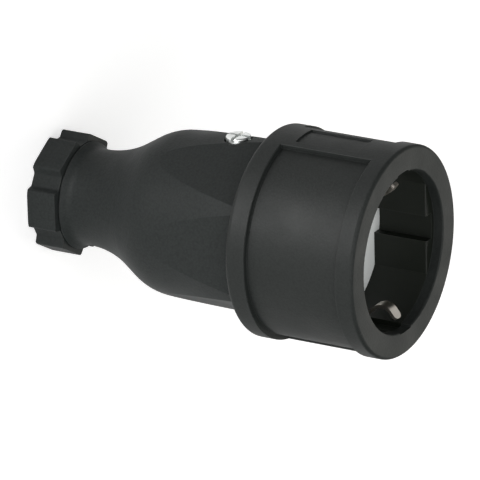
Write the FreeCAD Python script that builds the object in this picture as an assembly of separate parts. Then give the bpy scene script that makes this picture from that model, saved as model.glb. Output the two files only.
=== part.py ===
import FreeCAD, Part
import math
import os

# Inline socket connector: a two-pole mains socket with earth clips, on a cable handle with a gland nut.
# The axis is +Z, from the cable entry at z = 0 to the mouth. The housing screw and the name panel
# face -Y, the two earth clips lie in the YZ plane and the two pin contacts on the X axis.

# Lengths along the axis, in millimetres
nut_height = 7.85
nut_gap = 0.15
handle_length = 54.2
sleeve_length = 34.8
rear_collar_width = 5.4
front_ring_width = 4.75
rear_wall = 3.0
recess_depth = 17.0
lip_depth = 2.6

# Sleeve
sleeve_r = 26.25
sleeve_wall = 3.9
grip_depth = 1.35
lip_set = 0.15
lip_notch_depth = 0.5
panel_turn = 2.2
panel_half = 13.2
name_field_half = 9.0
name_field_start = 8.3
name_field_end = 9.6
name_field_depth = 0.5
front_edge_round = 0.9
rear_edge_round = 1.2
mouth_edge_round = 0.4
grip_edge_round = 0.25

# Recess liner
liner_wall = 2.4
pad_plane = 16.1
groove_width = 6.5
groove_r = 19.0
channel_width = 5.6
channel_wall = 1.05
pad_edge_round = 0.3

# Rear cover
neck_r = 12.0
neck_collar_r = 13.4
neck_collar_height = 0.5
neck_collar_round = 0.4
waist_start = 2.2
waist_round = 2.5
neck_length = 11.1
neck_blend = 26.0
shoulder_length = 24.3
shoulder_r = 20.2
shoulder_blend = 15.0
handle_front_r = 22.9
facet_count = 6
facet_distance = 20.25
facet_slope = 0.6
cavity_r = 16.2
cavity_cone_length = 16.0
tongue_wall = 1.8

# Cable gland
spigot_r = 10.4
spigot_wall = 2.2
nut_floor = 2.6
nut_corner_r = 15.35
nut_notch_r = 13.45
nut_lobes = 6
nut_corner_half = 18.6
nut_notch_half = 7.0
nut_corner_round = 0.7
nut_rim_round = 0.5
cable_entry_r = 6.2
cable_entry_round = 0.8
washer_thickness = 1.2
seal_length = 8.6
seal_taper = 1.5
seal_bore_r = 5.0
throat_r = 6.4
throat_length = 2.6

# Housing screw and its nut
screw_height = 51.9
screw_head_r = 3.1
screw_head_height = 2.6
screw_head_top = 22.8
screw_head_round = 0.5
screw_r = 1.95
screw_length = 10.1
slot_width = 0.9
slot_depth = 1.0
screw_boss_r = 5.0
screw_boss_height = 1.2
screw_nut_side = 7.0
screw_nut_thickness = 3.2
screw_nut_cover = 1.8

# Contact carrier and its rear plate
floor_thickness = 2.0
disc_thickness = 4.0
block_length = 14.0
block_width = 28.4
block_depth = 15.0
block_round = 4.0
plate_thickness = 3.5
screw_tongue_width = 10.4
screw_tongue_thickness = 5.3
screw_tongue_end = 5.5
pin_spacing = 19.0
pin_hole_r = 3.0
pin_hole_flare = 0.5

# Contacts and terminals
contact_r = 3.3
contact_bore_r = 2.4
contact_slit = 0.8
contact_slit_length = 11.0
contact_bore_length = 16.0
contact_setback = 0.4
spring_thickness = 0.35
spring_width = 2.5
spring_setback = 4.0
spring_slit = 1.2
terminal_side = 7.0
terminal_length = 9.0
wire_hole_r = 1.7
wire_hole_depth = 7.0
terminal_screw_head_r = 2.2
terminal_screw_head_height = 2.0
terminal_screw_r = 1.45
carrier_screw_head_r = 2.6
carrier_screw_head_height = 2.2
carrier_screw_r = 1.45
carrier_screw_length = 11.5
carrier_screw_offset = 4.2

# Earth bracket, stamped from one strip
strip_thickness = 0.8
clip_width = 3.0
clip_back_gap = 0.6
clip_bend_height = 3.5
clip_apex_reach = 7.6
clip_apex_depth = 5.3
clip_tip_reach = 3.2
clip_tip_depth = 1.9
clip_foot_round = 1.4
clip_bend_round = 4.0
clip_apex_round = 3.0
clip_tip_round = 1.2
earth_ring_r = 19.0
earth_ring_start_r = 16.5
earth_tail_width = 6.0
earth_tail_length = 25.2
earth_terminal_width = 6.4
earth_terminal_depth = 4.8
earth_terminal_length = 8.0

# Clearances
seat_gap = 0.1
slip_gap = 0.2
thread_gap = 0.05
screw_pocket_gap = 0.45

# Levels and radii that follow from these sizes
z_cover = nut_height + nut_gap
z_sleeve = z_cover + handle_length
z_mouth = z_sleeve + sleeve_length
z_lip = z_mouth - lip_depth
z_floor = z_mouth - recess_depth
z_disc = z_floor - disc_thickness
z_block = z_disc - block_length
z_plate = z_block - plate_thickness
z_ring = z_disc - strip_thickness
z_spigot = nut_floor + washer_thickness / 2
z_seal = nut_floor + washer_thickness
z_seat = z_seal + seal_length - seal_taper
z_throat = z_seal + seal_length
z_cavity = z_throat + throat_length
tongue_r = cavity_r + tongue_wall
sleeve_bore_r = sleeve_r - sleeve_wall
grip_r = sleeve_r - grip_depth
liner_outer_r = sleeve_bore_r - seat_gap
liner_r = liner_outer_r - liner_wall
mouth_r = liner_r + lip_set
lip_notch_r = mouth_r + lip_notch_depth
channel_r = liner_outer_r - channel_wall
clip_arm_r = channel_r - clip_back_gap
clip_apex_r = clip_arm_r - clip_apex_reach
clip_tip_r = clip_arm_r - clip_tip_reach
spigot_bore_r = spigot_r - spigot_wall
chamber_r = contact_r + spring_thickness + 2 * seat_gap
screw_seat = screw_head_top - screw_head_height
screw_tongue_front = cavity_r - screw_boss_height
pin_x = pin_spacing / 2

Vector = FreeCAD.Vector
ORIGIN = Vector(0, 0, 0)
Z_AXIS = Vector(0, 0, 1)


def cylinder(radius, start, end):
    """Solid cylinder on the main axis, from one level to another."""
    return Part.makeCylinder(radius, end - start, Vector(0, 0, start))


def rod(radius, start, end):
    """Solid cylinder between two points."""
    direction = end - start
    return Part.makeCylinder(radius, direction.Length, start, direction)


def box(x_range, y_range, z_range):
    """Box given by its two limits along each axis."""
    corner = Vector(x_range[0], y_range[0], z_range[0])
    return Part.makeBox(x_range[1] - x_range[0], y_range[1] - y_range[0], z_range[1] - z_range[0], corner)


def rounded_wire(corners, closed):
    """Wire through corners of the form (point, radius), with a tangent arc at each rounded corner."""
    edges = []
    count = len(corners)
    starts = []
    ends = []
    for index, (point, radius) in enumerate(corners):
        inner = closed or 0 < index < count - 1
        if radius == 0 or not inner:
            starts.append(point)
            ends.append(point)
            continue
        back = (corners[index - 1][0] - point).normalize()
        ahead = (corners[(index + 1) % count][0] - point).normalize()
        half = back.getAngle(ahead) / 2
        reach = radius / math.tan(half)
        starts.append(point + back * reach)
        ends.append(point + ahead * reach)
        bisector = (back + ahead).normalize()
        middle = point + bisector * (radius / math.sin(half) - radius)
        edges.append((index, Part.Arc(starts[index], middle, ends[index]).toShape()))
    arcs = dict(edges)
    ordered = []
    for index in range(count):
        if index in arcs:
            ordered.append(arcs[index])
        following = (index + 1) % count
        if following == 0 and not closed:
            break
        if (starts[following] - ends[index]).Length > 1e-6:
            ordered.append(Part.LineSegment(ends[index], starts[following]).toShape())
    return Part.Wire(ordered)


def turned(profile, angle=360.0):
    """Solid of revolution about the axis, from (radius, height, corner radius) points."""
    corners = [(Vector(r, 0, z), rounding) for r, z, rounding in profile]
    face = Part.Face(rounded_wire(corners, True))
    return face.revolve(ORIGIN, Z_AXIS, angle)


def plate(width, depth, rounding, start, end):
    """Upright block of rounded rectangular outline, centred on the axis."""
    x, y = width / 2, depth / 2
    points = [Vector(x, y, start), Vector(-x, y, start), Vector(-x, -y, start), Vector(x, -y, start)]
    outline = rounded_wire([(point, rounding) for point in points], True)
    return Part.Face(outline).extrude(Vector(0, 0, end - start))


def at_pins(shape):
    """The same shape at both pin positions."""
    return [shape.translated(Vector(side * pin_x, 0, 0)) for side in (1, -1)]


def slotted(screw, centre, axis, across, head_r):
    """Screw with one straight driver slot across the top of its head."""
    third = axis.cross(across)
    size = [2 * head_r + 1, slot_width, slot_depth]
    corner = centre - across * (size[0] / 2) - third * (size[1] / 2) - axis * size[2]
    start = Part.Wire(Part.makePolygon([corner, corner + across * size[0],
                                        corner + across * size[0] + third * size[1],
                                        corner + third * size[1], corner]))
    return screw.cut(Part.Face(start).extrude(axis * (size[2] + 1)))


def make_gland_nut():
    corners = []
    pitch = 360.0 / nut_lobes
    for lobe in range(nut_lobes):
        middle = -90 + (lobe + 0.5) * pitch
        notch_edge = pitch / 2 - nut_notch_half
        for angle, radius in ((-notch_edge, nut_notch_r), (-nut_corner_half, nut_corner_r),
                              (nut_corner_half, nut_corner_r), (notch_edge, nut_notch_r)):
            turn = math.radians(middle + angle)
            corners.append((Vector(radius * math.cos(turn), radius * math.sin(turn), 0), nut_corner_round))
    lobes = Part.Face(rounded_wire(corners, True)).extrude(Vector(0, 0, nut_height))
    rim = turned([(0, 0, 0), (nut_corner_r, 0, nut_rim_round), (nut_corner_r, nut_height, nut_rim_round),
                  (0, nut_height, 0)])
    body = lobes.common(rim)
    entry = turned([(0, -1, 0), (cable_entry_r + 1 + cable_entry_round, -1, 0),
                    (cable_entry_r, cable_entry_round, 0), (cable_entry_r, nut_floor + 1, 0),
                    (0, nut_floor + 1, 0)])
    thread = cylinder(spigot_r + thread_gap, nut_floor, nut_height + 1)
    return body.cut(entry).cut(thread)


def make_thrust_washer():
    outer = cylinder(spigot_bore_r - seat_gap, nut_floor, z_seal)
    return outer.cut(cylinder(cable_entry_r, nut_floor - 1, z_seal + 1))


def make_cable_seal():
    outer_r = spigot_bore_r - seat_gap
    return turned([(seal_bore_r, z_seal, 0), (outer_r, z_seal, 0), (outer_r, z_seat, 0),
                   (throat_r - seat_gap, z_throat, 0), (seal_bore_r, z_throat, 0)])


def make_rear_cover():
    shell = turned([(0, z_spigot, 0), (spigot_r, z_spigot, 0), (spigot_r, z_cover, 0),
                    (neck_collar_r, z_cover, neck_collar_round),
                    (neck_collar_r, z_cover + neck_collar_height, 0),
                    (neck_r, z_cover + waist_start, waist_round),
                    (neck_r, z_cover + neck_length, neck_blend),
                    (shoulder_r, z_cover + shoulder_length, shoulder_blend),
                    (handle_front_r, z_sleeve, 0), (tongue_r, z_sleeve, 0), (tongue_r, z_ring, 0),
                    (0, z_ring, 0)])
    shell = shell.common(facet_prism())
    cavity = turned([(0, z_spigot - 1, 0), (spigot_bore_r, z_spigot - 1, 0), (spigot_bore_r, z_seat, 0),
                     (throat_r, z_throat, 0), (throat_r, z_cavity, 0),
                     (cavity_r, z_cavity + cavity_cone_length, 0), (cavity_r, z_ring + 1, 0),
                     (0, z_ring + 1, 0)])
    shell = shell.cut(cavity)
    boss = rod(screw_boss_r, Vector(0, -cavity_r - tongue_wall / 2, screw_height),
               Vector(0, -screw_tongue_front - seat_gap, screw_height))
    shell = shell.fuse(boss)
    pocket = rod(screw_head_r + screw_pocket_gap, Vector(0, -screw_seat, screw_height),
                 Vector(0, -2 * screw_head_top, screw_height))
    hole = rod(screw_r + slip_gap, Vector(0, -screw_seat - 1, screw_height), Vector(0, 0, screw_height))
    return shell.cut(pocket).cut(hole).removeSplitter()


def facet_prism():
    """Tapered prism whose flats cut the facets of the handle; the tongue and the neck stay inside it."""
    def ring(level):
        distance = facet_distance + (z_sleeve - level) * math.tan(math.radians(facet_slope))
        corner_r = distance / math.cos(math.pi / facet_count)
        turns = [math.radians(-90 + 360.0 * k / facet_count) for k in range(facet_count + 1)]
        corners = [Vector(corner_r * math.cos(t), corner_r * math.sin(t), level) for t in turns]
        return Part.makePolygon(corners)
    flats = Part.makeLoft([ring(0), ring(z_sleeve)], True, True)
    return flats.fuse(cylinder(tongue_r, z_sleeve - 1, z_ring + 1))


def make_housing_screw():
    top = Vector(0, -screw_head_top, screw_height)
    seat = Vector(0, -screw_seat, screw_height)
    tip = Vector(0, -screw_seat + screw_length, screw_height)
    head = rod(screw_head_r, seat, top)
    rim = [edge for edge in head.Edges if abs(edge.CenterOfMass.y + screw_head_top) < 1e-3 and edge.Closed]
    head = head.makeFillet(screw_head_round, rim)
    screw = head.fuse(rod(screw_r, seat, tip))
    for across in (Vector(1, 0, 0), Z_AXIS):
        screw = slotted(screw, top, Vector(0, -1, 0), across, screw_head_r)
    return screw


def make_housing_screw_nut():
    half = screw_nut_side / 2
    front = -screw_tongue_front + screw_nut_cover
    levels = (screw_height - half, screw_height + half)
    nut = box((-half, half), (front, front + screw_nut_thickness), levels)
    start = Vector(0, front - 1, screw_height)
    return nut.cut(rod(screw_r + thread_gap, start, Vector(0, 0, screw_height)))


def make_socket_sleeve():
    sleeve = turned([(tongue_r + slip_gap, z_sleeve, 0), (sleeve_r, z_sleeve, rear_edge_round),
                     (sleeve_r, z_mouth, front_edge_round), (mouth_r, z_mouth, mouth_edge_round),
                     (mouth_r, z_lip, 0), (sleeve_bore_r, z_lip, 0),
                     (sleeve_bore_r, z_sleeve + rear_wall, 0),
                     (tongue_r + slip_gap, z_sleeve + rear_wall, 0)])
    name_side = -90 + panel_turn
    back_side = 90 + panel_turn
    low = z_sleeve + rear_collar_width
    high = z_mouth - front_ring_width
    for start, end in ((name_side, back_side), (back_side, name_side + 360)):
        sleeve = sleeve.cut(wall_pocket(grip_r, start + panel_half, end - panel_half, low, high))
    rims = [edge for edge in sleeve.Edges if on_grip_rim(edge, low, high)]
    sleeve = sleeve.makeFillet(grip_edge_round, rims)
    sleeve = sleeve.cut(wall_pocket(sleeve_r - name_field_depth, name_side - name_field_half,
                                    name_side + name_field_half, z_sleeve + name_field_start,
                                    z_mouth - name_field_end))
    half = channel_width / 2
    notch = box((-half, half), (-lip_notch_r, lip_notch_r), (z_lip - 1, z_mouth + 1))
    return sleeve.cut(notch.cut(cylinder(mouth_r / 2, z_lip - 2, z_mouth + 2)).common(
        cylinder(lip_notch_r, z_lip, z_mouth + 1)))


def wall_pocket(floor_r, start, end, low, high):
    """Cutter that sinks part of the outer wall to a floor radius, between two angles in degrees."""
    reach = sleeve_r + 1
    pocket = turned([(floor_r, low, 0), (reach, low, 0), (reach, high, 0), (floor_r, high, 0)], end - start)
    pocket.rotate(ORIGIN, Z_AXIS, start)
    return pocket


def on_grip_rim(edge, low, high):
    """True for the outer edges of the two sunken grips."""
    middle = edge.CenterOfMass
    corners = [vertex.Point for vertex in edge.Vertexes]
    outside = all(math.hypot(p.x, p.y) > (grip_r + sleeve_r) / 2 for p in corners)
    inside = all(low - 1e-3 < p.z < high + 1e-3 for p in corners)
    return outside and inside and low - 1e-3 < middle.z < high + 1e-3 and len(corners) == 2


def make_socket_liner():
    tube = cylinder(liner_outer_r, z_floor, z_lip)
    low, high = z_floor - 1, z_lip + 1
    reach = liner_outer_r + 1
    pads = box((-pad_plane, pad_plane), (-reach, reach), (low, high))
    hollow = cylinder(liner_r, low, high).common(pads)
    grooves = box((-reach, reach), (-groove_width / 2, groove_width / 2), (low, high))
    channels = box((-channel_width / 2, channel_width / 2), (-reach, reach), (low, high))
    hollow = hollow.fuse(grooves.common(cylinder(groove_r, low, high)))
    hollow = hollow.fuse(channels.common(cylinder(channel_r, low, high)))
    liner = tube.cut(hollow).removeSplitter()
    rims = [edge for edge in liner.Edges if is_pad_rim(edge)]
    return liner.makeFillet(pad_edge_round, rims)


def is_pad_rim(edge):
    """True for the straight front edges of the flat pads."""
    ends = [vertex.Point for vertex in edge.Vertexes]
    return all(abs(p.z - z_lip) < 1e-3 and abs(abs(p.x) - pad_plane) < 1e-3 for p in ends)


def make_contact_carrier():
    carrier = cylinder(liner_outer_r, z_disc, z_floor)
    carrier = carrier.fuse(plate(block_width, block_depth, block_round, z_block, z_disc))
    chamber = cylinder(chamber_r, z_block - 1, z_floor - floor_thickness)
    flare = Part.makeCone(pin_hole_r, pin_hole_r + pin_hole_flare, pin_hole_flare,
                          Vector(0, 0, z_floor - pin_hole_flare))
    pin_hole = cylinder(pin_hole_r, z_block, z_floor + 1).fuse(flare)
    for hollow in at_pins(chamber) + at_pins(pin_hole):
        carrier = carrier.cut(hollow)
    for side in (1, -1):
        foot = Vector(0, side * carrier_screw_offset, z_plate)
        hole_end = foot + Vector(0, 0, carrier_screw_length + slip_gap)
        carrier = carrier.cut(rod(carrier_screw_r + thread_gap, foot, hole_end))
    half = clip_width / 2 + slip_gap
    inner = clip_arm_r - strip_thickness / 2 - clip_foot_round
    low, high = z_disc - 1, z_floor + 1
    slot = box((-half, half), (-channel_r, channel_r), (low, high))
    slot = slot.common(cylinder(channel_r, low, high)).cut(cylinder(inner, low, high))
    return carrier.cut(slot)


def make_carrier_cover():
    cover = plate(block_width, block_depth, block_round, z_plate, z_block)
    half = screw_tongue_width / 2
    back = -screw_tongue_front + screw_tongue_thickness
    low = screw_height - screw_tongue_end
    cover = cover.fuse(box((-half, half), (-screw_tongue_front, back), (low, z_block)))
    cover = cover.fuse(box((-half, half), (back, -block_depth / 2 + 1), (z_plate, z_block)))
    for hole in at_pins(cylinder(contact_r + slip_gap, z_plate - 1, z_block + 1)):
        cover = cover.cut(hole)
    for side in (1, -1):
        foot = Vector(0, side * carrier_screw_offset, z_plate - 1)
        cover = cover.cut(rod(carrier_screw_r + slip_gap, foot, foot + Vector(0, 0, plate_thickness + 2)))
    side = screw_nut_side / 2 + seat_gap
    pocket_front = -screw_tongue_front + screw_nut_cover
    pocket_levels = (screw_height - side, screw_height + side)
    cover = cover.cut(box((-side, side), (pocket_front, back + 1), pocket_levels))
    hole_start = Vector(0, -screw_tongue_front - 1, screw_height)
    hole = rod(screw_r + slip_gap, hole_start, Vector(0, 0, screw_height))
    return cover.cut(hole).removeSplitter()


def make_carrier_screws():
    screws = []
    for side in (1, -1):
        head_top = Vector(0, side * carrier_screw_offset, z_plate - carrier_screw_head_height)
        seat = Vector(0, side * carrier_screw_offset, z_plate)
        screw = rod(carrier_screw_head_r, head_top, seat)
        screw = screw.fuse(rod(carrier_screw_r, seat, seat + Vector(0, 0, carrier_screw_length)))
        screws.append(slotted(screw, head_top, Vector(0, 0, -1), Vector(1, 0, 0), carrier_screw_head_r))
    return Part.makeCompound(screws)


def make_pin_contact(side):
    front = z_floor - floor_thickness - contact_setback
    contact = cylinder(contact_r, z_plate, front)
    half = terminal_side / 2
    contact = contact.fuse(box((-half, half), (-half, half), (z_plate - terminal_length, z_plate)))
    contact = contact.cut(cylinder(contact_bore_r, front - contact_bore_length, front + 1))
    reach = contact_r + 1
    slit = contact_slit / 2
    span = (front - contact_slit_length, front + 1)
    contact = contact.cut(box((-slit, slit), (-reach, reach), span))
    contact = contact.cut(box((-reach, reach), (-slit, slit), span))
    wire_start = z_plate - terminal_length - 1
    contact = contact.cut(cylinder(wire_hole_r, wire_start, wire_start + 1 + wire_hole_depth))
    height = z_plate - terminal_length / 2
    screw_hole = rod(terminal_screw_r + thread_gap, Vector(0, 0, height), Vector(0, half + 1, height))
    return contact.cut(screw_hole).translated(Vector(side * pin_x, 0, 0))


def make_contact_spring(side):
    top = z_floor - floor_thickness - contact_setback - spring_setback
    inner = contact_r + seat_gap / 2
    ring = cylinder(inner + spring_thickness, top - spring_width, top)
    ring = ring.cut(cylinder(inner, top - spring_width - 1, top + 1))
    slit = box((-spring_slit / 2, spring_slit / 2), (0, contact_r + 1), (top - spring_width - 1, top + 1))
    return ring.cut(slit).translated(Vector(side * pin_x, 0, 0))


def make_terminal_screw(seat):
    """Clamp screw whose head sits on a block's +Y face and whose tip presses on the wire."""
    out = Vector(0, 1, 0)
    top = seat + out * terminal_screw_head_height
    screw = rod(terminal_screw_head_r, seat, top)
    screw = screw.fuse(rod(terminal_screw_r, seat, seat - out * (terminal_side / 2 - wire_hole_r / 2)))
    return slotted(screw, top, out, Vector(1, 0, 0), terminal_screw_head_r)


def pin_terminal_seat(side):
    return Vector(side * pin_x, terminal_side / 2, z_plate - terminal_length / 2)


def earth_block_levels():
    end = z_ring - earth_tail_length
    return end, end + earth_terminal_length


def earth_block_faces():
    inner = block_depth / 2 + slip_gap + strip_thickness
    return inner, inner + earth_terminal_depth


def make_earth_bracket():
    ring = cylinder(earth_ring_r, z_ring, z_disc)
    opening = [block_width + 2 * slip_gap, block_depth + 2 * slip_gap, block_round]
    ring = ring.cut(plate(*opening, z_ring - 1, z_disc + 1))
    for side in (1, -1):
        ring = ring.fuse(earth_clip(side))
    tail_front = block_depth / 2 + slip_gap
    half = earth_tail_width / 2
    tail_levels = (z_ring - earth_tail_length, z_disc)
    tail = box((-half, half), (tail_front, tail_front + strip_thickness), tail_levels)
    return ring.fuse(tail).removeSplitter()


def earth_clip(side):
    """Strip that rises from the ring, runs up its channel and bows into the recess."""
    level = z_ring + strip_thickness / 2
    path = [((earth_ring_start_r, level), 0),
            ((clip_arm_r, level), clip_foot_round),
            ((clip_arm_r, z_floor + clip_bend_height), clip_bend_round),
            ((clip_apex_r, z_mouth - clip_apex_depth), clip_apex_round),
            ((clip_tip_r, z_mouth - clip_tip_depth), 0)]
    wire = rounded_wire([(Vector(0, side * r, z), rounding) for (r, z), rounding in path], False)
    half = clip_width / 2
    start = Vector(0, side * earth_ring_start_r, 0)
    corners = [Vector(-half, start.y, z_ring), Vector(half, start.y, z_ring), Vector(half, start.y, z_disc),
               Vector(-half, start.y, z_disc), Vector(-half, start.y, z_ring)]
    clip = wire.makePipeShell([Part.makePolygon(corners)], True, True)
    tip = Vector(0, side * clip_tip_r, z_mouth - clip_tip_depth)
    return clip.makeFillet(clip_tip_round, [edge for edge in clip.Edges if is_tip_corner(edge, tip)])


def is_tip_corner(edge, tip):
    """True for the two short edges at the end of a clip, across the thickness of the strip."""
    middle = edge.CenterOfMass
    at_end = math.hypot(middle.y - tip.y, middle.z - tip.z) < 1e-3
    return at_end and abs(edge.Length - strip_thickness) < 1e-3


def make_earth_terminal():
    low, high = earth_block_levels()
    inner, outer = earth_block_faces()
    half = earth_terminal_width / 2
    block = box((-half, half), (inner, outer), (low, high))
    middle = (inner + outer) / 2
    block = block.cut(rod(wire_hole_r, Vector(0, middle, low - 1), Vector(0, middle, high + 1)))
    height = (low + high) / 2
    screw_hole = rod(terminal_screw_r + thread_gap, Vector(0, middle, height), Vector(0, outer + 1, height))
    return block.cut(screw_hole)


def make_earth_terminal_screw():
    low, high = earth_block_levels()
    return make_terminal_screw(Vector(0, earth_block_faces()[1], (low + high) / 2))


nodes = {
    "gland_nut": make_gland_nut(),
    "thrust_washer": make_thrust_washer(),
    "cable_seal": make_cable_seal(),
    "rear_cover": make_rear_cover(),
    "housing_screw": make_housing_screw(),
    "housing_screw_nut": make_housing_screw_nut(),
    "socket_sleeve": make_socket_sleeve(),
    "socket_liner": make_socket_liner(),
    "contact_carrier": make_contact_carrier(),
    "carrier_cover": make_carrier_cover(),
    "carrier_screws": make_carrier_screws(),
    "live_contact": make_pin_contact(1),
    "neutral_contact": make_pin_contact(-1),
    "live_contact_spring": make_contact_spring(1),
    "neutral_contact_spring": make_contact_spring(-1),
    "live_terminal_screw": make_terminal_screw(pin_terminal_seat(1)),
    "neutral_terminal_screw": make_terminal_screw(pin_terminal_seat(-1)),
    "earth_bracket": make_earth_bracket(),
    "earth_terminal": make_earth_terminal(),
    "earth_terminal_screw": make_earth_terminal_screw(),
}

os.makedirs("parts", exist_ok=True)
for name, shape in nodes.items():
    print(name, shape.isValid(), len(shape.Solids), round(shape.Volume, 1))
    shape.exportStep("parts/" + name + ".step")
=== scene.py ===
# %% [markdown]
# # An inline mains socket, lit and finished in Blender
# The object is the female end of an extension lead: a black moulded handle with a gland nut at its
# tail, and a round sleeve whose mouth takes the plug. Its solids were drawn in CAD, so this lesson
# does not model the housing again. It loads the solids, gives each one the finish of the real
# material, and then sets up the floor, the light and the camera. Lengths are in metres.

# %% Load the solids
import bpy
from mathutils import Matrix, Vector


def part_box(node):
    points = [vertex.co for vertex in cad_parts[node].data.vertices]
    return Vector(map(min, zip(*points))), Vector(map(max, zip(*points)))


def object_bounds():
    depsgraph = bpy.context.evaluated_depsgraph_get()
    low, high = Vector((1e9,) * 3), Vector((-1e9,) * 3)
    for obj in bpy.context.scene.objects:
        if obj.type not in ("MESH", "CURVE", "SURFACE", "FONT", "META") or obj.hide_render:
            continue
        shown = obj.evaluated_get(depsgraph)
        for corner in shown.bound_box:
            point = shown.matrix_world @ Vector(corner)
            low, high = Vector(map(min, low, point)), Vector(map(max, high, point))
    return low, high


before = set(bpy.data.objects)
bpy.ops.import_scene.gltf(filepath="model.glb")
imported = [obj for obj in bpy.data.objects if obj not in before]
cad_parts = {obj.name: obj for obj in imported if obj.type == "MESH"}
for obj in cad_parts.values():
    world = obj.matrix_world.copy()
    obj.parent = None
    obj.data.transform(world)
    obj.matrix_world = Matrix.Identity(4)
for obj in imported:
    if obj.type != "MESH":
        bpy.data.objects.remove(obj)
cad_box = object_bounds()
print("solids:", len(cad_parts), "height of the connector:", round(cad_box[1].z, 4), "m")

# %% [markdown]
# ## A short way to write shader nodes
# A finish is a tree of small nodes. Blender can build it by mouse, and a script can build it by
# naming each node and its links. One helper that makes a node, sets it and wires its inputs keeps the
# later cells short: a value that is itself a socket becomes a link, and anything else a plain setting.
# Arithmetic on numbers and on vectors and a change of range come up often, so each has its own helper.

# %% Helpers for nodes
import bpy


def add_node(tree, kind, inputs=None, **settings):
    made = tree.nodes.new("ShaderNode" + kind)
    for name, value in settings.items():
        setattr(made, name, value)
    wire(tree, made, inputs or {})
    return made


def wire(tree, target, inputs):
    for name, value in inputs.items():
        if isinstance(value, bpy.types.NodeSocket):
            tree.links.new(value, target.inputs[name])
        else:
            target.inputs[name].default_value = value


def calculate(tree, operation, *values):
    """Result of one Math node, which works on numbers."""
    return add_node(tree, "Math", dict(enumerate(values)), operation=operation).outputs[0]


def calculate_vector(tree, operation, *vectors, result="Vector"):
    """Result of one Vector Math node, which works on vectors."""
    return add_node(tree, "VectorMath", dict(enumerate(vectors)), operation=operation).outputs[result]


def spread(tree, value, low, high, start=0.0, end=1.0):
    """A value remapped from one range to another."""
    return add_node(tree, "MapRange", {"Value": value, "From Min": low, "From Max": high,
                                       "To Min": start, "To Max": end}).outputs[0]


print("node helpers ready")

# %% [markdown]
# ## Effects as node groups
# Several finishes here need the same effect, such as the fine grain that a spark-eroded mould leaves on
# plastic. It could be copied into every material, but a node group is better: it is built once, has
# named inputs, and each material sets its own sizes. A group gives out only masks and heights; the
# shader that turns them into a surface stays in the material.

# %% Helpers for groups
def new_group(name, inputs, outputs):
    group = bpy.data.node_groups.new(name, "ShaderNodeTree")
    for label, default in inputs.items():
        kind = "NodeSocketFloat" if isinstance(default, float) else "NodeSocketVector"
        socket = group.interface.new_socket(label, in_out="INPUT", socket_type=kind)
        socket.default_value = default
    for label in outputs:
        group.interface.new_socket(label, in_out="OUTPUT", socket_type="NodeSocketFloat")
    given = group.nodes.new("NodeGroupInput").outputs
    result = group.nodes.new("NodeGroupOutput")
    return group, given, result


def use_group(tree, group, inputs):
    placed = add_node(tree, "Group")
    placed.node_tree = group
    wire(tree, placed, inputs)
    return placed.outputs


def shrink_to(group, coordinates, size):
    """Coordinates counted in steps of a given size, so that a texture of scale 1 has that size."""
    steps = calculate(group, "DIVIDE", 1.0, size)
    return add_node(group, "VectorMath", {0: coordinates, "Scale": steps}, operation="SCALE").outputs[0]


print("group helpers ready")

# %% [markdown]
# ## Moulded grain
# A plastic housing copies the surface of its steel mould. The mould is eroded by sparks, which leaves
# small overlapping pits, so the plastic has a fine pebbled grain: about half a millimetre across on the
# handle and the sleeve, and finer inside. Over longer distances the polymer cools unevenly and its gloss
# drifts. Smooth Voronoi cells give the pebbles, a little noise breaks them up, and a large soft noise
# gives the drift.

# %% Build the grain group
PEBBLE_SMOOTHNESS = 0.6
DUST_SCALE = 1.7
NOISE_RANGE = (0.3, 0.7)

moulded_grain, given, result = new_group(
    "moulded_grain", {"Coordinates": (0.0, 0.0, 0.0), "Grain Size": 0.0004, "Cloud Size": 0.012},
    ["Height", "Cloud"])
fine = shrink_to(moulded_grain, given["Coordinates"], given["Grain Size"])
pebbles = add_node(moulded_grain, "TexVoronoi",
                   {"Vector": fine, "Scale": 1.0, "Smoothness": PEBBLE_SMOOTHNESS},
                   feature="SMOOTH_F1").outputs["Distance"]
dust = add_node(moulded_grain, "TexNoise",
                {"Vector": fine, "Scale": DUST_SCALE, "Detail": 3.0}).outputs[0]
height = calculate(moulded_grain, "SUBTRACT", dust, pebbles)
broad = shrink_to(moulded_grain, given["Coordinates"], given["Cloud Size"])
cloud = add_node(moulded_grain, "TexNoise", {"Vector": broad, "Scale": 1.0, "Detail": 3.0}).outputs[0]
wire(moulded_grain, result, {"Height": height, "Cloud": spread(moulded_grain, cloud, *NOISE_RANGE)})
print("group:", moulded_grain.name, "with", len(moulded_grain.nodes), "nodes")

# %% [markdown]
# ## Flow streaks
# Molten plastic runs into the mould along the handle and freezes in faint streaks that follow the
# flow. The same stretched noise also serves for metal strip, which keeps the drawn lines of the rolling
# mill. Stretching is done by shrinking the coordinates less along one axis than across it.

# %% Build the streak group
STREAK_ROUGHNESS = 0.6

flow_streaks, given, result = new_group(
    "flow_streaks",
    {"Coordinates": (0.0, 0.0, 0.0), "Streak Width": 0.001, "Stretch": (1.0, 1.0, 0.05)}, ["Streak"])
drawn = calculate_vector(flow_streaks, "MULTIPLY", given["Coordinates"], given["Stretch"])
lines = add_node(flow_streaks, "TexNoise",
                 {"Vector": shrink_to(flow_streaks, drawn, given["Streak Width"]), "Scale": 1.0,
                  "Detail": 4.0, "Roughness": STREAK_ROUGHNESS}).outputs[0]
wire(flow_streaks, result, {"Streak": spread(flow_streaks, lines, *NOISE_RANGE)})
print("group:", flow_streaks.name, "with", len(flow_streaks.nodes), "nodes")

# %% [markdown]
# ## Rubbed edges and painted edge sheen
# Corners of a housing touch benches and hands first, so they turn smoother. They are also made paler,
# partly for that wear and partly as a painted highlight along the edges. The edges have to be found
# without drawing them in a texture. The Bevel node gives the normal that a rounded edge would have, and
# where that leaves the true normal, an edge is near. A patchy input keeps the paling from being even.

# %% Build the edge group
BEVEL_SAMPLES = 6
FLAT_AGREEMENT = 0.995
EDGE_AGREEMENT = 0.90
LEAST_WEAR_AND_SHEEN = 0.35

# The edges found here are made paler: partly wear, partly a painted highlight along them.
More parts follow.
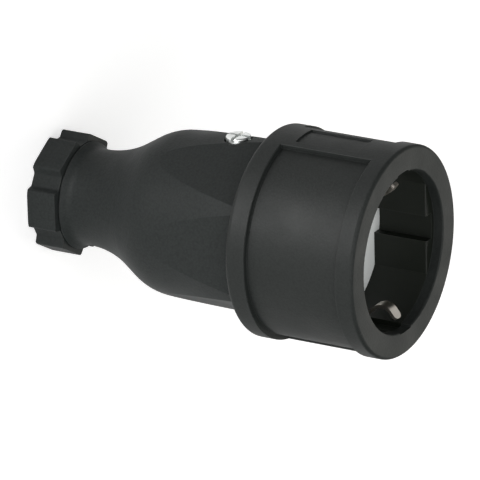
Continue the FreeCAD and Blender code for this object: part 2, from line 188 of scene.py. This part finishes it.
edge_wear_and_sheen, given, result = new_group("edge_wear_and_sheen", {"Width": 0.0004, "Patches": 0.5}, ["Mask"])
rounded = add_node(edge_wear_and_sheen, "Bevel", {"Radius": given["Width"]}, samples=BEVEL_SAMPLES).outputs[0]
facing = add_node(edge_wear_and_sheen, "NewGeometry").outputs["Normal"]
agreement = calculate_vector(edge_wear_and_sheen, "DOT_PRODUCT", rounded, facing, result="Value")
near_edge = spread(edge_wear_and_sheen, agreement, FLAT_AGREEMENT, EDGE_AGREEMENT)
patches = spread(edge_wear_and_sheen, given["Patches"], 0.0, 1.0, LEAST_WEAR_AND_SHEEN, 1.0)
wire(edge_wear_and_sheen, result, {"Mask": calculate(edge_wear_and_sheen, "MULTIPLY", near_edge, patches)})
print("group:", edge_wear_and_sheen.name, "with", len(edge_wear_and_sheen.nodes), "nodes")

# %% [markdown]
# ## Turned rings
# Screw heads and brass contact sleeves come off a lathe, which leaves rings about their axis. The
# distance from that axis, counted in steps and bent a little by noise, goes through a sine wave, which
# comes round after about six steps. The two contacts mirror each other, so taking the size of each
# coordinate lets one centre serve for both.

# %% Build the ring group
WOBBLE_SCALE = 900.0
WOBBLE_REACH = 3.0

turned_rings, given, result = new_group(
    "turned_rings",
    {"Coordinates": (0.0, 0.0, 0.0), "Centre": (0.0, 0.0, 0.0), "Across": (1.0, 1.0, 0.0),
     "Ring Step": 0.0002}, ["Ring"])
mirrored = calculate_vector(turned_rings, "ABSOLUTE", given["Coordinates"])
offset = calculate_vector(turned_rings, "SUBTRACT", mirrored, given["Centre"])
flat = calculate_vector(turned_rings, "MULTIPLY", offset, given["Across"])
radius = calculate_vector(turned_rings, "LENGTH", flat, result="Value")
count = calculate(turned_rings, "DIVIDE", radius, given["Ring Step"])
wobble = add_node(turned_rings, "TexNoise",
                  {"Vector": given["Coordinates"], "Scale": WOBBLE_SCALE}).outputs[0]
bent = calculate(turned_rings, "MULTIPLY_ADD", wobble, WOBBLE_REACH, count)
wave = calculate(turned_rings, "SINE", bent)
wire(turned_rings, result, {"Ring": spread(turned_rings, wave, -1.0, 1.0)})
print("group:", turned_rings.name, "with", len(turned_rings.nodes), "nodes")

# %% [markdown]
# ## Parts that every finish shares
# Each finish starts from the coordinates of the part itself, so that a pattern has its real size and
# stays on the part. Each mixes two tones of one colour by a mask, and turns a height into fine relief.
# The Mix node keeps a set of sockets for each kind of data, and its colour sockets are picked by number.

# %% Helpers for materials
COLOUR_A, COLOUR_B, COLOUR_RESULT = 6, 7, 2


def start_material(name):
    material = bpy.data.materials.new(name)
    material.use_nodes = True
    tree = material.node_tree
    place = add_node(tree, "TexCoord").outputs["Object"]
    return material, tree, tree.nodes["Principled BSDF"], place


def opaque(colour):
    """A plain colour made opaque; a socket is left as it is."""
    return colour if isinstance(colour, bpy.types.NodeSocket) else (*colour, 1.0)


def blend_colours(tree, share, first, second):
    inputs = {"Factor": share, COLOUR_A: opaque(first), COLOUR_B: opaque(second)}
    return add_node(tree, "Mix", inputs, data_type="RGBA").outputs[COLOUR_RESULT]


def relief(tree, height, depth, strength):
    inputs = {"Height": height, "Distance": depth, "Strength": strength}
    return add_node(tree, "Bump", inputs).outputs[0]


print("material helpers ready")

# %% [markdown]
# ## Black moulded plastic
# The handle, the sleeve and the inner liner are the same kind of plastic from three moulds, so one
# recipe with three settings makes them. The base colour drifts a little with the cloud and the
# streaks and is speckled by the grain. Edges go paler, partly from wear and partly as a painted
# highlight. Roughness follows the cloud, and the grain goes to a bump. Numbers that are the same all
# over the part stay on the shader's own sockets.

# %% Recipe for black plastic
HOUSING_CLOUD = 0.011
HOUSING_STREAK = 0.0016
HOUSING_EDGE = 0.0004
HOUSING_RELIEF = 0.00004
SPECK_RANGE = (-0.6, 0.3)
SPECK_SHARE = 0.75
RUBBED_POLISH = -0.06


def black_plastic(name, deep, pale, worn_and_sheen_edge_colour, gloss, roughness, grain_size, strength):
    material, tree, shader, place = start_material(name)
    grain = use_group(tree, moulded_grain, {"Coordinates": place, "Grain Size": grain_size,
                                            "Cloud Size": HOUSING_CLOUD})
    streak = use_group(tree, flow_streaks, {"Coordinates": place, "Streak Width": HOUSING_STREAK})["Streak"]
    drift = calculate(tree, "MULTIPLY", grain["Cloud"], streak)
    specks = spread(tree, grain["Height"], *SPECK_RANGE)
    tone = add_node(tree, "Mix", {"Factor": SPECK_SHARE, "A": drift, "B": specks}).outputs[0]
    # Paler edges: partly wear, partly a painted highlight along the edges.
    edge_wear_and_sheen_mask = use_group(tree, edge_wear_and_sheen, {"Width": HOUSING_EDGE, "Patches": grain["Cloud"]})["Mask"]
    body = blend_colours(tree, tone, deep, pale)
    dullness = spread(tree, grain["Cloud"], 0.0, 1.0, *roughness)
    polish = spread(tree, edge_wear_and_sheen_mask, 0.0, 1.0, 0.0, RUBBED_POLISH)
    wire(tree, shader, {
        "Base Color": blend_colours(tree, edge_wear_and_sheen_mask, body, worn_and_sheen_edge_colour),
        "Specular IOR Level": gloss,
        "Roughness": calculate(tree, "ADD", dullness, polish),
        "Normal": relief(tree, grain["Height"], HOUSING_RELIEF, strength)})
    return material


print("recipe ready: black_plastic")

# %% Make the three black plastics
# The edge colours are paler tones for the edges: partly wear, partly a painted highlight.
handle_black = black_plastic(
    "handle_black", deep=(0.0214, 0.0244, 0.0237), pale=(0.0337, 0.0383, 0.0372),
    worn_and_sheen_edge_colour=(0.047, 0.051, 0.049), gloss=0.15, roughness=(0.54, 0.64), grain_size=0.0006, strength=0.60)
sleeve_black = black_plastic(
    "sleeve_black", deep=(0.0137, 0.0159, 0.0149), pale=(0.0215, 0.0249, 0.0233),
    worn_and_sheen_edge_colour=(0.041, 0.045, 0.043), gloss=0.23, roughness=(0.54, 0.64), grain_size=0.0006, strength=0.60)
liner_black = black_plastic(
    "liner_black", deep=(0.0062, 0.0080, 0.0056), pale=(0.0090, 0.0114, 0.0079),
    worn_and_sheen_edge_colour=(0.024, 0.028, 0.024), gloss=0.28, roughness=(0.40, 0.50), grain_size=0.00025, strength=0.30)
print("plastics:", handle_black.name, sleeve_black.name, liner_black.name)

# %% [markdown]
# ## Pale and soft inner plastics
# The floor of the recess belongs to the contact carrier, moulded from a stiff pale grey plastic with a
# mineral filler that shows as faint specks. The washer under the gland nut is natural nylon, and the
# seal round the cable is rubber with a dusty bloom. One recipe serves, with other colours and roughness.

# %% Recipe for plain inner plastics
INNER_CLOUD = 0.006
INNER_RELIEF = 0.00003


def inner_plastic(name, deep, pale, roughness, grain_size, strength):
    material, tree, shader, place = start_material(name)
    grain = use_group(tree, moulded_grain, {"Coordinates": place, "Grain Size": grain_size,
                                            "Cloud Size": INNER_CLOUD})
    specks = spread(tree, grain["Height"], *SPECK_RANGE)
    drift = calculate(tree, "MULTIPLY", specks, grain["Cloud"])
    wire(tree, shader, {
        "Base Color": blend_colours(tree, drift, deep, pale),
        "Roughness": spread(tree, grain["Cloud"], 0.0, 1.0, *roughness),
        "Normal": relief(tree, grain["Height"], INNER_RELIEF, strength)})
    return material


carrier_grey = inner_plastic("carrier_grey", deep=(0.84, 0.87, 0.85), pale=(0.90, 0.92, 0.91),
                             roughness=(0.38, 0.50), grain_size=0.0003, strength=0.15)
washer_natural = inner_plastic("washer_natural", deep=(0.70, 0.69, 0.64), pale=(0.78, 0.77, 0.73),
                               roughness=(0.40, 0.52), grain_size=0.0004, strength=0.15)
seal_rubber = inner_plastic("seal_rubber", deep=(0.030, 0.030, 0.031), pale=(0.055, 0.054, 0.053),
                            roughness=(0.68, 0.85), grain_size=0.0005, strength=0.35)
print("inner plastics:", carrier_grey.name, washer_natural.name, seal_rubber.name)

# %% [markdown]
# ## Plated and turned metal
# The housing screw is zinc-plated steel, and its head still shows the lathe. The contacts are turned
# brass. The earth bracket and the small springs are stamped from rolled strip, the bracket plated with
# nickel, which looks a little warmer than chrome. All of them are metals, so the colour tints the
# reflection and the finish is told by roughness and fine relief.

# %% Recipe for metals
METAL_GRAIN = 0.0003
METAL_CLOUD = 0.003
METAL_RELIEF = 0.00002


def metal(name, deep, pale, roughness, marks, strength):
    material, tree, shader, place = start_material(name)
    grain = use_group(tree, moulded_grain, {"Coordinates": place, "Grain Size": METAL_GRAIN,
                                            "Cloud Size": METAL_CLOUD})
    group, settings = marks
    mark = use_group(tree, group, {"Coordinates": place, **settings})[0]
    stain = calculate(tree, "MULTIPLY", grain["Cloud"], mark)
    wire(tree, shader, {
        "Metallic": 1.0,
        "Base Color": blend_colours(tree, stain, deep, pale),
        "Roughness": spread(tree, grain["Cloud"], 0.0, 1.0, *roughness),
        "Normal": relief(tree, mark, METAL_RELIEF, strength)})
    return material


print("recipe ready: metal")

# %% [markdown]
# ## Marks on the metal
# The rings need the axis that each piece was turned about. The housing screw lies along Y and the
# contacts stand along Z. Places typed in by hand would be wrong once the solids change, so each centre is
# the middle of that solid's box, and Across leaves out the axis. Strip and drawn wire keep long lines, so
# their noise is stretched along Z.

# %% Make the metals
def middle_of(node):
    """Middle of one solid's box."""
    low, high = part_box(node)
    return (low + high) / 2


screw_turning = {"Centre": (0.0, 0.0, middle_of("housing_screw").z), "Across": (1.0, 0.0, 1.0),
                 "Ring Step": 0.00003}
contact_turning = {"Centre": (middle_of("live_contact").x, 0.0, 0.0), "Across": (1.0, 1.0, 0.0),
                   "Ring Step": 0.00004}
strip_rolling = {"Streak Width": 0.00012, "Stretch": (1.0, 1.0, 0.04)}
screw_zinc = metal("screw_zinc", deep=(0.64, 0.66, 0.65), pale=(0.80, 0.81, 0.80),
                   roughness=(0.26, 0.40), marks=(turned_rings, screw_turning), strength=0.3)
inner_zinc = metal("inner_zinc", deep=(0.62, 0.63, 0.65), pale=(0.76, 0.76, 0.75),
                   roughness=(0.22, 0.38), marks=(flow_streaks, strip_rolling), strength=0.2)
contact_brass = metal("contact_brass", deep=(0.66, 0.47, 0.20), pale=(0.80, 0.63, 0.32),
                      roughness=(0.20, 0.34), marks=(turned_rings, contact_turning), strength=0.3)
spring_steel = metal("spring_steel", deep=(0.42, 0.43, 0.45), pale=(0.56, 0.57, 0.58),
                     roughness=(0.24, 0.36), marks=(flow_streaks, strip_rolling), strength=0.3)
earth_nickel = metal("earth_nickel", deep=(0.68, 0.63, 0.56), pale=(0.83, 0.79, 0.73),
                     roughness=(0.28, 0.40), marks=(flow_streaks, strip_rolling), strength=0.25)
print("metals:", [m.name for m in (screw_zinc, inner_zinc, contact_brass, spring_steel, earth_nickel)])

# %% [markdown]
# ## Dress the solids
# Each solid keeps its exact CAD mesh and only changes the material in its slot. Keeping the list in one
# place makes it easy to see that nothing was left with the plain colour that it was loaded with.

# %% Assign the finishes
finishes = {
    handle_black: ["gland_nut", "rear_cover"],
    sleeve_black: ["socket_sleeve"],
    liner_black: ["socket_liner"],
    carrier_grey: ["contact_carrier", "carrier_cover"],
    washer_natural: ["thrust_washer"],
    seal_rubber: ["cable_seal"],
    screw_zinc: ["housing_screw"],
    inner_zinc: ["housing_screw_nut", "carrier_screws", "live_terminal_screw", "neutral_terminal_screw",
                 "earth_terminal_screw"],
    contact_brass: ["live_contact", "neutral_contact", "earth_terminal"],
    spring_steel: ["live_contact_spring", "neutral_contact_spring"],
    earth_nickel: ["earth_bracket"],
}
for material, names in finishes.items():
    for name in names:
        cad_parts[name].material_slots[0].material = material
print("dressed", sum(len(names) for names in finishes.values()), "of", len(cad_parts), "solids")

# %% [markdown]
# ## Floor
# The connector stands on its gland nut on a plain pale floor. A catalogue picture has a white ground, and
# lighting the floor until it clips would also bleach the object. So the floor is lit like everything
# else, and only rays from the camera, or from a mirror or a lens, see some extra glow on it.

# %% Make the floor
FLOOR_REACH = 30.0
CORNERS = ((-1, -1), (1, -1), (1, 1), (-1, 1))

floor_corners = [(x * FLOOR_REACH, y * FLOOR_REACH, 0.0) for x, y in CORNERS]
floor_mesh = bpy.data.meshes.new("studio_floor")
floor_mesh.from_pydata(floor_corners, [], [(0, 1, 2, 3)])
floor = bpy.data.objects.new("studio_floor", floor_mesh)
bpy.context.scene.collection.objects.link(floor)
print("floor:", FLOOR_REACH * 2, "m wide")

# %% Paint the floor
FLOOR_GLOW = 0.53
FLOOR_ROUGHNESS = 0.9
FLOOR_DEEP = (0.80, 0.80, 0.80)
FLOOR_PALE = (0.82, 0.82, 0.82)
PAINT_SCALE = 3.0
WHITE = (1.0, 1.0, 1.0, 1.0)

floor_paint, tree, shader, place = start_material("studio_paint")
patchy = add_node(tree, "TexNoise", {"Vector": place, "Scale": PAINT_SCALE, "Detail": 2.0}).outputs[0]
rays = add_node(tree, "LightPath").outputs
seen = calculate(tree, "MAXIMUM", rays["Is Camera Ray"], rays["Is Glossy Ray"])
seen = calculate(tree, "MAXIMUM", seen, rays["Is Transmission Ray"])
wire(tree, shader, {
    "Base Color": blend_colours(tree, patchy, FLOOR_DEEP, FLOOR_PALE),
    "Roughness": FLOOR_ROUGHNESS,
    "Specular IOR Level": 0.0,
    "Emission Color": WHITE,
    "Emission Strength": calculate(tree, "MULTIPLY", seen, FLOOR_GLOW)})
floor_mesh.materials.append(floor_paint)
print("floor paint:", floor_paint.name, "glow", FLOOR_GLOW)

# %% [markdown]
# ## Directions of the picture
# The lamps and the camera are easier to place in the picture's own directions than in the part's: towards
# the viewer, up in the picture, and along the connector from its tail to its mouth. The picture shows the
# connector turned a little about its axis, so the first two are turned by that angle.

# %% Set the directions
from math import cos, radians, sin
from mathutils import Matrix, Vector

PICTURE_TURN = radians(24.0)
towards = Vector((cos(PICTURE_TURN), -sin(PICTURE_TURN), 0.0))
picture_up = Vector((-sin(PICTURE_TURN), -cos(PICTURE_TURN), 0.0))
along = Vector((0.0, 0.0, 1.0))
middle = (cad_box[0] + cad_box[1]) / 2
print("towards the viewer:", [round(c, 3) for c in towards])

# %% [markdown]
# ## Light
# Black plastic is drawn mostly by what it mirrors, so each lamp is a soft box with a place to draw. One
# stands by the camera, one lights the side that the picture shows below, and one looks down into the
# mouth, wide enough to leave only a soft shadow. A slightly warm one stands behind for the front face and
# the rims, and one lights the earth clips from the far side. A small one lies low in front, where the
# sleeve mirrors the floor. It is hidden from diffuse rays, so it draws only a soft highlight and no
# shadow. A dim even world stands for the walls of the room.

# %% Make the lamps
BOX_WIDTH = 0.50
BOX_DISTANCE = 0.80
WARM_WHITE = (1.0, 0.985, 0.93)


def soft_box(name, near, up, high, power, width=BOX_WIDTH, distance=BOX_DISTANCE):
    """Square area lamp in a direction of the picture, which looks at the middle of the connector."""
    way = (towards * near + picture_up * up + along * high).normalized()
    lamp = bpy.data.lights.new(name, "AREA")
    lamp.size = width
    lamp.energy = power
    placed = bpy.data.objects.new(name, lamp)
    placed.location = middle + way * distance
    placed.visible_camera = False
    placed.rotation_euler = way.to_track_quat("Z", "Y").to_euler()
    bpy.context.scene.collection.objects.link(placed)
    return placed


soft_box("key_box", near=0.80, up=0.05, high=0.60, power=1.50)
soft_box("side_box", near=0.70, up=-0.60, high=0.25, power=1.90)
soft_box("mouth_box", near=0.25, up=-0.15, high=0.95, power=4.30, width=1.10)
back_box = soft_box("back_box", near=-0.86, up=0.0, high=0.50, power=1.78)
back_box.data.color = WARM_WHITE
soft_box("clip_box", near=-0.60, up=0.65, high=0.46, power=0.25, width=0.30)
low_box = soft_box("low_box", near=0.973, up=0.195, high=-0.120, power=0.193, width=0.03, distance=0.154)
low_box.visible_diffuse = False

# %% Make the room
ROOM_LIGHT = 0.02

world = bpy.data.worlds.new("studio_world")
world.use_nodes = True
bpy.context.scene.world = world
room = world.node_tree.nodes["Background"]
room.inputs["Color"].default_value = WHITE
room.inputs["Strength"].default_value = ROOM_LIGHT
print("room light:", ROOM_LIGHT)

# %% [markdown]
# ## Camera
# The picture was taken from the side and a little from the front, from far away with a long lens, with the
# connector lying across it. The camera is placed by the pixel of the mouth's centre and by three angles,
# and rolled so that the connector's axis runs to the right and a little down.

# %% Aim the camera
PICTURE_SIZE = 480
PIXELS_PER_METRE = 4170.0
ROLL = radians(10.35)
LEAN = radians(62.08)
MOUTH_PIXEL = (404.2, 252.5)

back = along * cos(LEAN) + towards * sin(LEAN)
across = along * sin(LEAN) - towards * cos(LEAN)
right = across * cos(ROLL) + picture_up * sin(ROLL)
up = picture_up * cos(ROLL) - across * sin(ROLL)
mouth = Vector((0.0, 0.0, cad_box[1].z))
shift_right = (MOUTH_PIXEL[0] - PICTURE_SIZE / 2) / PIXELS_PER_METRE
shift_down = (MOUTH_PIXEL[1] - PICTURE_SIZE / 2) / PIXELS_PER_METRE
aim = mouth - right * shift_right + up * shift_down
print("the camera looks at", [round(c, 4) for c in aim])

# %% Make the camera
DISTANCE = 1.5
SENSOR = 36.0
FARTHEST = 100.0

lens = bpy.data.cameras.new("picture_camera")
lens.sensor_width = SENSOR
lens.lens = PIXELS_PER_METRE * DISTANCE / PICTURE_SIZE * SENSOR
lens.clip_end = FARTHEST
camera = bpy.data.objects.new("picture_camera", lens)
axes = Matrix((right, up, back)).transposed()
camera.matrix_world = Matrix.Translation(aim + back * DISTANCE) @ axes.to_4x4()
bpy.context.scene.collection.objects.link(camera)
bpy.context.scene.camera = camera
bpy.context.scene.view_settings.view_transform = "Standard"
print("camera at", [round(c, 3) for c in camera.location], "lens", round(lens.lens, 1), "mm")
